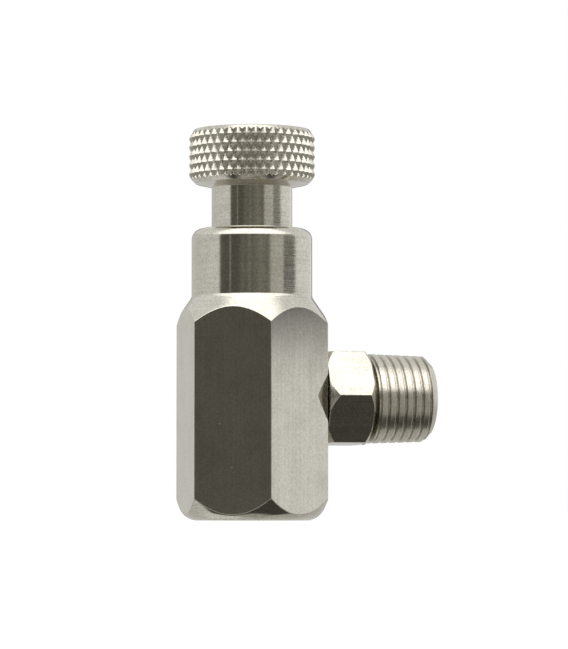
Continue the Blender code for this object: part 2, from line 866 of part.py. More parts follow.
def knob_hub():
    """The smooth hub with its O-ring groove, up into the head."""
    points = outline(
        (0, KNOB_HUB_TOP),
        (KNOB_HUB_TOP_RADIUS, KNOB_HUB_TOP),
        (KNOB_HUB_TOP_RADIUS, KNOB_LOW + HUB_OVERLAP),
        (HUB_RADIUS, KNOB_LOW + HUB_OVERLAP),
        (HUB_RADIUS, HUB_GROOVE_TOP),
        (HUB_GROOVE, HUB_GROOVE_TOP),
        (HUB_GROOVE, HUB_GROOVE_LOW),
        (HUB_LAND, HUB_GROOVE_LOW),
        (HUB_LAND, HUB_BOTTOM + HUB_CHAMFER),
        (HUB_LAND - HUB_CHAMFER, HUB_BOTTOM),
        (0, HUB_BOTTOM),
    )
    return turned("knob_hub", points, TURNING, OUTER_STEPS)


def knob_head_blank():
    """The head before it is knurled: a shallow cone below, and a chamfer at both rims."""
    return outline(
        (0, KNOB_TOP),
        (KNOB_TOP_RADIUS, KNOB_TOP),
        (KNOB_RADIUS, KNOB_BAND_TOP),
        (KNOB_RADIUS, KNOB_BAND_LOW),
        (KNOB_RIM, KNOB_RIM_HEIGHT),
        (KNOB_UNDERSIDE_RADIUS, KNOB_LOW),
        (0, KNOB_LOW),
    )


def knob_bores():
    bore = outline(
        (0, KNOB_BORE_TOP),
        (KNOB_BORE, KNOB_BORE_TOP),
        (KNOB_BORE, HUB_RECESS_TOP),
        (HUB_RECESS, HUB_RECESS_TOP),
        (HUB_RECESS, HUB_BOTTOM - CUTTER_OVERRUN),
        (0, HUB_BOTTOM - CUTTER_OVERRUN),
    )
    hole = cylinder(
        "grub_hole",
        GRUB_RADIUS + THREAD_GAP,
        GRUB_HOLE_START,
        GRUB_HOLE_END,
        TURNING,
        GRUB_STEPS,
        BACKWARD,
    )
    return turned("knob_bore", bore, TURNING), hole


def make_knob():
    """A knurled head joined to its hub. The knurl starts inside the lower chamfer."""
    knob = turned("knob", knob_head_blank(), TURNING, 2 * KNURL_COUNT, VALVE)
    knurl = knurl_block("knob_knurl", KNURL_LOW, KNOB_TOP + OVERRUN)
    plain = cylinder(
        "knob_plain",
        KNURL_PLAIN_RADIUS,
        KNOB_LOW - CUTTER_OVERRUN,
        KNURL_PLAIN_TOP,
        TURNING,
        OUTER_STEPS,
    )
    combine(knurl, plain, "UNION")
    combine(knob, knurl, "INTERSECT")
    combine(knob, knob_hub(), "UNION")
    cut(knob, *knob_bores())
    finish(knob, NICKEL_PLATE)


def make_grub_screw():
    points = outline(
        (0, GRUB_OUTER),
        (GRUB_RADIUS - FINE_CHAMFER, GRUB_OUTER),
        (GRUB_RADIUS, GRUB_OUTER - FINE_CHAMFER),
        (GRUB_RADIUS, GRUB_INNER + GRUB_POINT),
        (GRUB_RADIUS - GRUB_POINT, GRUB_INNER),
        (0, GRUB_INNER),
    )
    grub = turned("knob_grub_screw", points, TURNING, GRUB_STEPS, VALVE, BACKWARD)
    socket_low = GRUB_OUTER - GRUB_SOCKET_DEPTH
    socket_top = GRUB_OUTER + CUTTER_OVERRUN
    socket = hexagon("grub_socket", GRUB_SOCKET_FLATS, socket_low, socket_top, TURNING, BACKWARD)
    cut(grub, socket)
    finish(grub, BLACK_STEEL)


def make_hub_friction_ring():
    height = (HUB_GROOVE_LOW + HUB_GROOVE_TOP) / 2
    finish(o_ring("hub_friction_ring", *HUB_O_RING, height, TURNING), RUBBER)


# Outlet


def nipple_hexagon():
    """The hexagon, chamfered at both ends."""
    blank = NIPPLE_FLATS / math.sqrt(3) + BLANK_MARGIN
    near_chamfer = (blank - NIPPLE_FACE) / NIPPLE_NEAR_SLOPE
    far_chamfer = (blank - NIPPLE_FACE) / NIPPLE_FAR_SLOPE
    points = outline(
        (0, NIPPLE_HEX_END),
        (NIPPLE_FACE, NIPPLE_HEX_END),
        (blank, NIPPLE_HEX_END - far_chamfer),
        (blank, NIPPLE_HEX_START + near_chamfer),
        (NIPPLE_FACE, NIPPLE_HEX_START),
        (0, NIPPLE_HEX_START),
    )
    solid = turned("outlet_nipple", points, FIXED, OUTER_STEPS, VALVE, OUTWARD)
    prism = hexagon(
        "nipple_prism",
        NIPPLE_FLATS,
        NIPPLE_HEX_START - CUTTER_OVERRUN,
        NIPPLE_HEX_END + CUTTER_OVERRUN,
        direction=OUTWARD,
        roll=NIPPLE_ROLL,
    )
    combine(solid, prism, "INTERSECT")
    return solid


def make_outlet_nipple():
    """The hexagon joined by a neck to the tapered thread and by another to the spigot."""
    nipple = nipple_hexagon()
    neck = cylinder(
        "nipple_neck",
        OUTLET_NECK,
        NIPPLE_HEX_END - CUTTER_OVERRUN,
        OUTLET_START + CUTTER_OVERRUN,
        direction=OUTWARD,
    )
    outlet = thread(
        "outlet_thread",
        PIPE_PITCH,
        OUTLET_ROOT,
        OUTLET_CREST,
        outline(
            (0, OUTLET_REACH),
            (OUTLET_TIP, OUTLET_REACH),
            (OUTLET_LIMIT, OUTLET_REACH - (OUTLET_LIMIT - OUTLET_TIP)),
            (OUTLET_LIMIT, OUTLET_START + OVERRUN),
            (OUTLET_START_RADIUS, OUTLET_START),
            (0, OUTLET_START),
        ),
        direction=OUTWARD,
        steps=OUTLET_STEPS,
        taper=OUTLET_TAPER,
        crest_share=OUTLET_CREST_SHARE,
    )
    spigot = turned(
        "spigot",
        chamfered_length(SPIGOT_RADIUS, SPIGOT_START, PORT_POCKET_START - REST_GAP, THREAD_CHAMFER),
        direction=OUTWARD,
    )
    spigot_neck = cylinder(
        "spigot_neck",
        SPIGOT_NECK,
        PORT_POCKET_START - CUTTER_OVERRUN,
        NIPPLE_HEX_START + CUTTER_OVERRUN,
        direction=OUTWARD,
    )
    for piece in (neck, outlet, spigot_neck, spigot):
        combine(nipple, piece, "UNION")
    bore = outline(
        (0, OUTLET_REACH + CUTTER_OVERRUN),
        (NIPPLE_BORE + EDGE_CHAMFER + CUTTER_OVERRUN, OUTLET_REACH + CUTTER_OVERRUN),
        (NIPPLE_BORE, OUTLET_REACH - EDGE_CHAMFER),
        (NIPPLE_BORE, SPIGOT_START - CUTTER_OVERRUN),
        (0, SPIGOT_START - CUTTER_OVERRUN),
    )
    cut(nipple, turned("nipple_bore", bore, direction=OUTWARD))
    finish(nipple, NICKEL_PLATE)


def make_nipple_o_ring():
    reach = (PORT_POCKET_START + BODY_FLATS / 2) / 2
    finish(o_ring("nipple_o_ring", *NIPPLE_O_RING, reach, FIXED, OUTWARD), RUBBER)


make_valve_body()
make_inlet_seal_washer()
make_strainer()
make_strainer_snap_ring()
make_seat_bush()
make_seat_bush_o_ring()
make_packing()
make_guide_bush()
make_spindle()
make_spindle_stop_clip()
make_needle_clip()
make_needle()
make_knob()
make_grub_screw()
make_hub_friction_ring()
make_outlet_nipple()
make_nipple_o_ring()
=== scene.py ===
"""Looks for the needle valve: fine meshes, plated metal, studio light and camera.

The frame is in metres. Sizes here are in millimetres unless they say otherwise, with
heights above the body's bottom face and reaches along +X from the valve axis.
"""

import json
import math

import bmesh
import bpy
import numpy as np
from mathutils import Matrix, Vector


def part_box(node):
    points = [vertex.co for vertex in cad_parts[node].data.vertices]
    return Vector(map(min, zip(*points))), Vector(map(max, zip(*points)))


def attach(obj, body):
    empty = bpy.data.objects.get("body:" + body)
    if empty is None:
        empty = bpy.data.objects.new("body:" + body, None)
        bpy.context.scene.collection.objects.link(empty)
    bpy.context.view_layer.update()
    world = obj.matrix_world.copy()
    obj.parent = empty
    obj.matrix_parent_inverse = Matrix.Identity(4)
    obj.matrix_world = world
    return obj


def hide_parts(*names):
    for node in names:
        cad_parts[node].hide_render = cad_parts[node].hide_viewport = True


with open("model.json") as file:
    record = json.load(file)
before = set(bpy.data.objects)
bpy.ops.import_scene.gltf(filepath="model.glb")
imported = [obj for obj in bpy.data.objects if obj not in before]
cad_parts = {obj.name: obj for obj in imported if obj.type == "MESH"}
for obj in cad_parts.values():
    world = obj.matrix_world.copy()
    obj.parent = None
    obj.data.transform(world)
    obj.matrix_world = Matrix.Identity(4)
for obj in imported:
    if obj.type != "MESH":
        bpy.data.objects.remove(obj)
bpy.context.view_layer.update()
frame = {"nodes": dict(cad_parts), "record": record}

MM = 0.001


def reach_of(node, corner, axis):
    """A side of a node's box in millimetres, from the valve axis along X."""
    start = AXIS_X if axis == 0 else 0.0
    return (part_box(node)[corner][axis] - start) / MM


def middle_of(node, axis):
    """The middle of a node's box along an axis, in metres."""
    low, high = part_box(node)
    return (low[axis] + high[axis]) / 2


AXIS_X = middle_of("spindle", 0)
AXIS = Matrix.Translation((AXIS_X, 0.0, 0.0))
PORT_HEIGHT = middle_of("nipple_o_ring", 2) / MM
PORT = Matrix.Translation((AXIS_X, 0.0, PORT_HEIGHT * MM)) @ Matrix.Rotation(math.pi / 2, 4, "Y")
GRUB_HEIGHT = middle_of("knob_grub_screw", 2) / MM
GRUB = Matrix.Translation((AXIS_X, 0.0, GRUB_HEIGHT * MM)) @ Matrix.Rotation(-math.pi / 2, 4, "X")

# Valve body, outside. The hexagon's corners lie along Y.
BODY_APOTHEM = -reach_of("valve_body", 0, 0)
BODY_TOP = reach_of("valve_body", 1, 2)
BODY_CORNER = BODY_APOTHEM / math.cos(math.radians(30))
COLLAR_RADIUS = 9.12
COLLAR_EDGE = 1.6
SHOULDER_HEIGHT = 33.65
SHOULDER_FILLET = 1.2
CONE_SLOPE = 0.69
BASE_CHAMFER_HEIGHT = 3.25
BASE_SLOPE = 0.66
BASE_EDGE = 2.6
EDGE_WEAR = 0.1
BODY_CORNER_ROUNDING = 0.22
COLLAR_MOUTH = 0.25

# Bores on the valve axis from the mouth of the inlet up, as (radius, upper end).
INLET_MOUTH = 6.95
BODY_BORES = (
    (5.72, 8.4),
    (6.75, 9.4),
    (5.72, 10.4),
    (4.4, 10.5),
    (4.9, 11.2),
    (4.4, 12.6),
    (3.5, 15.5),
    (2.7, 16.0),
    (4.0, 22.6),
    (3.05, 24.6),
    (4.6, 30.0),
    (5.85, 38.5),
    (6.2, BODY_TOP - COLLAR_MOUTH),
)

# Bores of the port from outside in, as (radius, inner end).
PORT_MOUTH = 21.0
PORT_BORES = ((5.65, 9.1), (4.67, 5.1), (2.4, 0.0))

# Threads, as (pitch, root radius, crest radius, share of the pitch that its crest takes).
INLET_THREAD = (1.337, 5.66, 6.58, 0.08)
INLET_THREAD_TOP = 8.8
OUTLET_THREAD = (1.337, 6.32, 6.82, 0.5)
OUTLET_TAPER = 1 / 32

# How threads are softened, as (share of the pitch, share of the depth): a root's curve from
# its middle up, and a crest's from its edge down.
ROOT_CURVE = ((0.0, 0.0), (0.04, 0.02), (0.08, 0.1))
CREST_CURVE = (0.05, 0.08)

# Outlet nipple.
NIPPLE_APOTHEM = 6.925
NIPPLE_CORNER_ROUNDING = 0.15
NIPPLE_ROLL = math.radians(-2.2)
NIPPLE_HEX_START = 10.46
NIPPLE_HEX_END = 17.5
NIPPLE_FACE = 7.02
NIPPLE_FACE_EDGE = 0.05
NIPPLE_SLOPES = (0.75, 1.07)
OUTLET_REACH = reach_of("outlet_nipple", 1, 0)
SPIGOT_START = reach_of("outlet_nipple", 0, 0)
NIPPLE_BORE = 3.2
NIPPLE_FLARE = 0.3
OUTLET_START = 17.85
OUTLET_START_RADIUS = 5.75
OUTLET_TIP = 5.45
OUTLET_TIP_EDGE = 0.15
OUTLET_LIMIT = 6.92
OUTLET_NECK = 5.5
SPIGOT_RADIUS = 4.57
SPIGOT_END = 9.0
SPIGOT_NECK = 3.95
SPIGOT_BEVEL = 0.4

# Knob: the head's band as (low, high), the head's lower rim as (radius, height).
KNOB_TOP = reach_of("knob", 1, 2)
HUB_BOTTOM = reach_of("knob", 0, 2)
HUB_RADIUS = 6.1
KNOB_RADIUS = 9.55
KNOB_BAND = (52.0, 57.8)
KNOB_BAND_EDGE = 0.8
KNOB_TOP_RADIUS = 8.75
KNOB_TOP_EDGE = 0.25
KNOB_RIM = (8.5, 50.9)
KNOB_RIM_EDGE = 0.3
KNOB_UNDERSIDE = 50.38
KNOB_UNDERSIDE_EDGE = 0.12

# The ring's groove in the hub as (radius, low, high), then bores as (radius, upper end) and
# the grub screw's hole as (radius, inner end, outer end).
HUB_GROOVE = (5.0, 41.9, 43.1)
HUB_LAND = 5.95
HUB_CHAMFER = 0.15
HUB_RECESS = (4.3, 42.3)
KNOB_BORE = (2.55, 55.5)
GRUB_HOLE = (1.6, 1.0, 12.0)

# Knurl: its count round, its turn, the height of a row of tips, the rise from one row to the
# next, its depth, where it ends below, its mesh steps for each half diamond, and how far its
# tips and grooves are rounded, from 0 for sharp.
KNURL_COUNT = 42
KNURL_TURN = math.radians(2.5)
KNURL_FIRST_TIPS = 52.35
KNURL_ROW = 1.355
KNURL_DEPTH = 0.6
KNURL_LOW = 51.2
KNURL_FINE = 4
KNURL_SOFTNESS = 0.3

# How far a cutter runs past a face, how far joined solids reach into each other, and a
# thread's limit past its crest.
OVERRUN = 0.5
OVERLAP = 1.0
CREST_TRIM = 0.05

# How finely the turned pieces are divided round their axis, and their roundings, and the
# angle from which an edge is shaded sharp.
BORE_STEPS = 72
OUTLET_STEPS = 120
NIPPLE_STEPS = 96
GRUB_STEPS = 48
COLLAR_PIECES = 8
BASE_PIECES = 16
BASE_ROWS = 10
SHARP_ANGLE = math.radians(28)

# Camera: the azimuth that the object is seen from, and where its picture centre falls.
CAMERA_AZIMUTH = -14.4
CAMERA_DISTANCE = 530.0
CAMERA_HEIGHT = 1.5
PICTURE_HEIGHT = 98.0
LOOK_ACROSS = 4.85
LOOK_HEIGHT = 29.6


# Outlines and grids


def arc(before, corner, after, radius, pieces):
    """The points of a rounding of that radius between two straight runs."""
    inward = (before - corner).normalized()
    onward = (after - corner).normalized()
    half = inward.angle(onward) / 2
    centre = corner + (inward + onward).normalized() * radius / math.sin(half)
    start = (corner + inward * radius / math.tan(half) - centre).normalized()
    end = (corner + onward * radius / math.tan(half) - centre).normalized()
    return [centre + start.slerp(end, piece / pieces) * radius for piece in range(pieces + 1)]


def outline(*corners, pieces=5):
    """Corners as (radius, height), or (radius, height, rounding), made a list of points."""
    points = [Vector(corner[:2]) for corner in corners]
    run = []
    for index, corner in enumerate(corners):
        if len(corner) == 3:
            following = points[(index + 1) % len(points)]
            run += arc(points[index - 1], points[index], following, corner[2], pieces)
        else:
            run.append(points[index])
    return run


def plain_length(radius, low, high):
    """The outline of a plain cylinder."""
    return outline((0, high), (radius, high), (radius, low), (0, low))


def circle(angles, radius, height):
    """One row of a grid: a point at every angle, in millimetres round local Z."""
    heights = np.broadcast_to(height, angles.shape)
    return np.stack([radius * np.cos(angles), radius * np.sin(angles), heights], axis=1)


def grid_mesh(name, rows, ring, second_rows=()):
    """A closed mesh from rows of points, first to last down the outside.

    A ring's last row meets its first one, as on a piece with a through bore. Otherwise
    the first and last rows are closed with a fan. second_rows take the second material.
    """
    points = np.concatenate(rows) * MM
    count = len(rows[0])
    column = np.arange(count)
    following = (column + 1) % count
    faces = []
    kinds = []
    for row in range(len(rows) if ring else len(rows) - 1):
        below = (row + 1) % len(rows)
        here, there = row * count, below * count
        corners = (here + column, there + column, there + following, here + following)
        faces += np.stack(corners, axis=1).tolist()
        kinds += [int(row in second_rows)] * count
    if not ring:
        top = len(points)
        middles = [rows[0].mean(axis=0) * MM, rows[-1].mean(axis=0) * MM]
        points = np.concatenate([points, middles])
        last = (len(rows) - 1) * count
        for corners in (
            (np.full(count, top), column, following),
            (np.full(count, top + 1), last + following, last + column),
        ):
            faces += np.stack(corners, axis=1).tolist()
        kinds += [0] * 2 * count
    mesh = bpy.data.meshes.new(name)
    mesh.from_pydata(points.tolist(), [], faces)
    mesh.polygons.foreach_set("material_index", kinds)
    return mesh


def place(name, mesh, matrix, materials=()):
    """Adds a mesh to the scene. Its materials go on before any cut, so faces keep theirs."""
    for material in materials:
        mesh.materials.append(material)
    obj = bpy.data.objects.new(name, mesh)
    bpy.context.scene.collection.objects.link(obj)
    mesh.transform(matrix)
    return obj


def lathe(name, points, matrix, steps, materials=()):
    """A turned solid. An outline that starts off the axis is closed to a ring."""
    angles = np.linspace(0, 2 * math.pi, steps, endpoint=False)
    ring = points[0][0] > 0
    turned = points if ring else points[1:-1]
    rows = [circle(angles, radius, height) for radius, height in turned]
    return place(name, grid_mesh(name, rows, ring), matrix, materials)


def combine(obj, other, operation):
    """Cuts, joins or intersects at once, and removes the other solid."""
    boolean = obj.modifiers.new("combine", "BOOLEAN")
    boolean.operation = operation
    boolean.solver = "EXACT"
    boolean.object = other
    graph = bpy.context.evaluated_depsgraph_get()
    mesh = bpy.data.meshes.new_from_object(obj.evaluated_get(graph))
    obj.modifiers.clear()
    obj.data = mesh
    bpy.data.objects.remove(other)


def finish(obj, node, body):
    """Shades the piece, rides it on its body and lets it stand for its CAD node."""
    mesh = obj.data
    mesh.shade_smooth()
    mesh.set_sharp_from_angle(angle=SHARP_ANGLE)
    weighted = obj.modifiers.new("even_normals", "WEIGHTED_NORMAL")
    weighted.keep_sharp = True
    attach(obj, body)
    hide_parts(node)


def hexagon_section(apothem, rounding, roll=0.0, per_flat=20, per_corner=5):
    """(angles, radii) once round a hexagon with rounded corners along local Y."""
    half = (apothem - rounding) * math.tan(math.radians(30))
    centre_radius = (apothem - rounding) / math.cos(math.radians(30))
    spots = []
    for side in range(6):
        facing = math.radians(60 * side) + roll
        normal = np.array([math.cos(facing), math.sin(facing)])
        along = np.array([-normal[1], normal[0]])
        for across in np.linspace(-half, half, per_flat + 1):
            spots.append(apothem * normal + across * along)
        corner = facing + math.radians(30)
        centre = centre_radius * np.array([math.cos(corner), math.sin(corner)])
        for step in range(1, per_corner):
            turn = facing + math.radians(60 * step / per_corner)
            spots.append(centre + rounding * np.array([math.cos(turn), math.sin(turn)]))
    spots = np.array(spots)
    return np.arctan2(spots[:, 1], spots[:, 0]), np.hypot(spots[:, 0], spots[:, 1])


def worn_edge(angles, radii, heights, before, after):
    """Rows that round the edge where a cone meets the flats, as a short soft curve.

    before and after are the steps (radius, height) off the edge on its two sides.
    """
    rows = []
    for share in (0.0, 0.25, 0.5, 0.75, 1.0):
        first = (1 - share) ** 2 * EDGE_WEAR
        last = share**2 * EDGE_WEAR
        radius = radii + first * before[0] + last * after[0]
        rows.append(circle(angles, radius, heights + first * before[1] + last * after[1]))
    return rows


def thread_rod(name, sizes, low, high, matrix, steps, taper=0.0):
    """A right-hand thread with rounded roots and crests, a pitch longer than asked for.

    Each column holds the same points, raised by its share of the pitch, so the last
    column joins the first one a whole pitch up. A fan to the axis closes each end. The
    turns start a whole number of pitches above zero.
    """
    pitch, root, crest, crest_share = sizes
    depth = crest - root
    rise = 0.5 - crest_share / 2
    across, down = CREST_CURVE
    flank = [(part, root + share * depth) for part, share in ROOT_CURVE]
    flank += [(rise - across, crest - down * depth), (rise, crest)]
    form = flank + [(1 - part, radius) for part, radius in flank[:0:-1]]
    first = math.floor(low / pitch) - 2
    turns = math.ceil(high / pitch) + 1 - first
    size = len(form)
    shape = bmesh.new()
    columns = []
    for step in range(steps):
        angle = 2 * math.pi * step / steps
        column = []
        for index in range(turns * size + 1):
            part, radius = form[index % size]
            height = (first + index // size + part + step / steps) * pitch
            radius = (radius - taper * (height - low)) * MM
            spot = (radius * math.cos(angle), radius * math.sin(angle), height * MM)
            column.append(shape.verts.new(spot))
        columns.append(column)
    for column, following in zip(columns, columns[1:] + [columns[0][size:]]):
        for index in range(len(following) - 1):
            corners = (column[index], following[index], following[index + 1], column[index + 1])
            shape.faces.new(corners)
    low_edge = [column[0] for column in columns] + columns[0][size:0:-1]
    top_edge = [column[-1] for column in columns] + columns[-1][-2 : -size - 2 : -1]
    for edge in (low_edge, top_edge):
        height = sum(vert.co.z for vert in edge) / len(edge)
        middle = shape.verts.new((0.0, 0.0, height))
        for start, end in zip(edge, edge[1:] + edge[:1]):
            shape.faces.new((start, end, middle))
    bmesh.ops.recalc_face_normals(shape, faces=shape.faces)
    mesh = bpy.data.meshes.new(name)
    shape.to_mesh(mesh)
    shape.free()
    return place(name, mesh, matrix)


# Node materials


def new_material(name, colour, metallic, roughness):
    material = bpy.data.materials.new(name)
    material.use_nodes = True
    shader = material.node_tree.nodes["Principled BSDF"]
    shader.inputs["Base Color"].default_value = (*colour, 1.0)
    shader.inputs["Metallic"].default_value = metallic
    shader.inputs["Roughness"].default_value = roughness
    return material, shader


def add_node(tree, kind, **inputs):
    """A node with its inputs set: a socket is linked, anything else is its value."""
    node = tree.nodes.new(kind)
    for name, value in inputs.items():
        numbered = name[0] == "i" and name[1:].isdigit()
        socket = node.inputs[int(name[1:]) if numbered else name]
        if isinstance(value, bpy.types.NodeSocket):
            tree.links.new(value, socket)
        else:
            socket.default_value = value
    return node


def maths(tree, operation, first, second=0.0, third=0.0):
    node = add_node(tree, "ShaderNodeMath", i0=first, i1=second, i2=third)
    node.operation = operation
    return node.outputs[0]


def spread(tree, value, low, high, smallest, largest):
    """The value, taken from the range low to high onto another, and kept within it."""
    node = add_node(tree, "ShaderNodeMapRange", i0=value, i1=low, i2=high, i3=smallest, i4=largest)
    return node.outputs[0]


def stretched_noise(tree, stretch, scale, detail=3.0):
    """Noise over the piece's own coordinates, drawn out along one or two of them."""
    place_node = add_node(tree, "ShaderNodeTexCoord")
    mapping = add_node(tree, "ShaderNodeMapping", Vector=place_node.outputs["Object"])
    mapping.inputs["Scale"].default_value = stretch
    noise = add_node(tree, "ShaderNodeTexNoise", Vector=mapping.outputs[0])
    noise.inputs["Scale"].default_value = scale
    noise.inputs["Detail"].default_value = detail
    return noise.outputs[0]


def tint(tree, shader, colour, shade, value):
    """Mixes the base colour towards a shade by a value from 0 to 1."""
    mix = add_node(tree, "ShaderNodeMix")
    mix.data_type = "RGBA"
    tree.links.new(value, mix.inputs["Factor"])
    mix.inputs["A"].default_value = (*colour, 1.0)
    mix.inputs["B"].default_value = (*shade, 1.0)
    tree.links.new(mix.outputs["Result"], shader.inputs["Base Color"])


def bump(tree, shader, height, distance):
    """Raises the surface by a value times a distance in metres."""
    node = add_node(tree, "ShaderNodeBump", Height=height, Distance=distance, Strength=1.0)
    tree.links.new(node.outputs[0], shader.inputs["Normal"])


NICKEL = (0.72, 0.695, 0.625)
NICKEL_SHADE = (0.46, 0.435, 0.365)

# Cells per metre of the noise in the metals.
STAIN_SCALE = 260.0
GRAIN_SCALE = 3000.0
PIT_SCALE = 900.0
TARNISH_SCALE = 500.0

# Pits: how far they reach in their cell, the share of cells with none, and what they add.
PIT_REACH = (0.05, 0.16)
PIT_SELDOM = 0.80
PIT_ROUGHNESS = 0.25
PIT_DEPTH = 1.5

# How strongly stains show, and the depth of tool marks and of a moulded grain in metres.
STAIN_STRENGTH = 0.25
MACHINED_DEPTH = 0.000004
MOULDED_DEPTH = 0.00001


def pits(tree):
    """Scattered pits and dust specks, 1 in a pit and 0 elsewhere."""
    place_node = add_node(tree, "ShaderNodeTexCoord")
    cells = add_node(tree, "ShaderNodeTexVoronoi", Vector=place_node.outputs["Object"])
    cells.inputs["Scale"].default_value = PIT_SCALE
    apart = spread(tree, cells.outputs["Distance"], *PIT_REACH, 1.0, 0.0)
    seldom = maths(tree, "GREATER_THAN", cells.outputs["Color"], PIT_SELDOM)
    return maths(tree, "MULTIPLY", apart, seldom)


def nickel_plate(name, lines, roughness, mark_depth, grain):
    """Bright nickel plate over machined metal.

    lines stretches the tool marks, and grain is how far the plate's fine grain darkens it.
    """
    material, shader = new_material(name, NICKEL, 1.0, roughness)
    tree = material.node_tree
    cloud = stretched_noise(tree, (1, 1, 1), STAIN_SCALE)
    marks = stretched_noise(tree, lines, 1.0, 4.0)
    speckle = stretched_noise(tree, (1, 1, 1), GRAIN_SCALE, 5.0)
    specks = pits(tree)
    stain = spread(tree, cloud, 0.45, 0.75, 0.0, 1.0)
    stain = maths(tree, "MULTIPLY", stain, STAIN_STRENGTH)
    fine = spread(tree, speckle, 0.35, 0.65, 0.0, grain)
    lined = spread(tree, marks, 0.35, 0.65, 0.0, grain / 2)
    uneven = maths(tree, "ADD", stain, maths(tree, "ADD", fine, lined))
    tint(tree, shader, NICKEL, NICKEL_SHADE, maths(tree, "MAXIMUM", uneven, specks))
    rough = spread(tree, marks, 0.3, 0.7, roughness * 0.8, roughness * 1.35)
    rough = maths(tree, "ADD", rough, maths(tree, "MULTIPLY", specks, PIT_ROUGHNESS))
    tree.links.new(rough, shader.inputs["Roughness"])
    height = maths(tree, "SUBTRACT", marks, maths(tree, "MULTIPLY", specks, PIT_DEPTH))
    bump(tree, shader, height, mark_depth)
    return material


def machined(name, colour, shade, roughness, lines=(300, 300, 6000)):
    """A bare machined metal with turning marks and a slight tarnish."""
    material, shader = new_material(name, colour, 1.0, roughness)
    tree = material.node_tree
    marks = stretched_noise(tree, lines, 1.0, 3.0)
    tarnish = stretched_noise(tree, (1, 1, 1), TARNISH_SCALE)
    tint(tree, shader, colour, shade, spread(tree, tarnish, 0.4, 0.8, 0.0, 0.7))
    rough = spread(tree, marks, 0.3, 0.7, roughness * 0.7, roughness * 1.4)
    tree.links.new(rough, shader.inputs["Roughness"])
    bump(tree, shader, marks, MACHINED_DEPTH)
    return material


def moulded(name, colour, shade, roughness, grain):
    """Rubber, PTFE or fibre: no metal, a fine grain and a little unevenness."""
    material, shader = new_material(name, colour, 0.0, roughness)
    tree = material.node_tree
    texture = stretched_noise(tree, (1, 1, 1), grain, 5.0)
    tint(tree, shader, colour, shade, spread(tree, texture, 0.35, 0.75, 0.0, 1.0))
    rough = spread(tree, texture, 0.3, 0.7, roughness * 0.85, min(1.0, roughness * 1.2))
    tree.links.new(rough, shader.inputs["Roughness"])
    bump(tree, shader, texture, MOULDED_DEPTH)
    return material


PLATE_TURNED = nickel_plate("nickel_plate_turned", (60, 60, 5200), 0.095, 0.000004, 0.6)
PLATE_KNURL = nickel_plate("nickel_plate_knurl", (900, 900, 900), 0.26, 0.000002, 0.6)
PLATE_FLAT = nickel_plate("nickel_plate_flat", (2600, 2600, 60), 0.055, 0.0000012, 0.45)
PLATE_PORT = nickel_plate("nickel_plate_port", (5200, 60, 60), 0.25, 0.000002, 0.55)
PLATE_PORT_FLAT = nickel_plate("nickel_plate_port_flat", (60, 2600, 2600), 0.08, 0.0000012, 0.6)
BRASS = machined("brass", (0.74, 0.55, 0.26), (0.52, 0.34, 0.14), 0.24)
STAINLESS = machined("stainless_steel", (0.60, 0.60, 0.59), (0.45, 0.44, 0.43), 0.22)
BLACK_STEEL = machined("black_steel", (0.07, 0.07, 0.075), (0.03, 0.03, 0.03), 0.4)
RUBBER = moulded("black_rubber", (0.022, 0.022, 0.022), (0.05, 0.05, 0.048), 0.62, 2500.0)
PTFE = moulded("white_ptfe", (0.84, 0.84, 0.82), (0.70, 0.70, 0.68), 0.42, 900.0)
FIBRE = moulded("red_fibre", (0.40, 0.085, 0.045), (0.20, 0.04, 0.03), 0.8, 3000.0)

SLOT_MATERIALS = {
    "brass": BRASS,
    "stainless_steel": STAINLESS,
    "black_steel": BLACK_STEEL,
    "black_rubber": RUBBER,
    "white_ptfe": PTFE,
    "red_fibre": FIBRE,
}


def dress_inner_pieces():
    """The CAD nodes that stay take the finish of their slot."""
    for entry in frame["record"]["subparts"]:
        material = SLOT_MATERIALS.get(entry["material_slot"])
        if material:
            mesh = frame["nodes"][entry["node"]].data
            mesh.materials.clear()
            mesh.materials.append(material)


# Valve body


def bore_outline():
    """The bores on the valve axis, from the bottom face up to the collar's mouth."""
    inlet = BODY_BORES[0][0]
    points = [(INLET_MOUTH, 0.0), (inlet, INLET_MOUTH - inlet)]
    low = points[-1][1]
    for radius, high in BODY_BORES:
        points += [(radius, low), (radius, high)]
        low = high
    points.append((BODY_BORES[-1][0] + COLLAR_MOUTH, BODY_TOP))
    return outline(*points[:2], *points[3:])


def port_outline():
    """The bores of the port, from outside in to the valve axis."""
    points = [(0, PORT_MOUTH)]
    high = PORT_MOUTH
    for radius, low in PORT_BORES:
        points += [(radius, high), (radius, low)]
        high = low
    return outline(*points, (0, 0))


